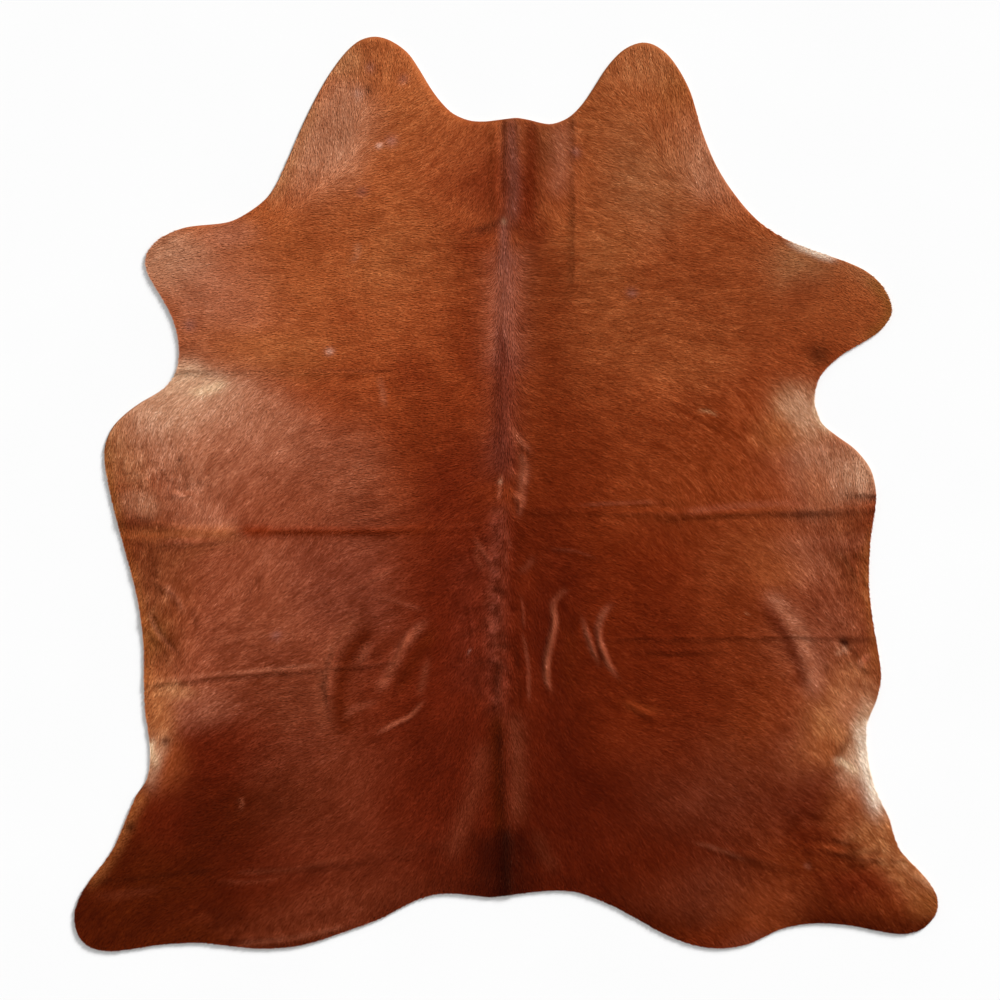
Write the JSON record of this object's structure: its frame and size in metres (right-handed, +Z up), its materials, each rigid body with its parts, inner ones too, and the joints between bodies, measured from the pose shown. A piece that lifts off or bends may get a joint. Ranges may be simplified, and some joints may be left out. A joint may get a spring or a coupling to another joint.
{
  "type": "cowhide rug",
  "caption": "Whole tanned cowhide with its short chestnut coat left on, laid flat as a floor rug, with low packing folds and natural wrinkles.",
  "frame": {"origin": "on the floor, under the middle of the hide's box", "axes": "+Z up, coat side up; +Y towards the neck, -Y towards the tail end, +X towards the animal's right side as the rug lies; the spine runs along Y"},
  "size_m": [1.9834, 2.102, 0.0105],
  "materials": {
    "hide": "short chestnut cow hair, lying flat, glossy, darker over the rump and the hind shanks and paler at the flanks; pale suede skin underneath"
  },
  "bodies": {
    "root": {"hide": "hide"}
  },
  "joints": []
}
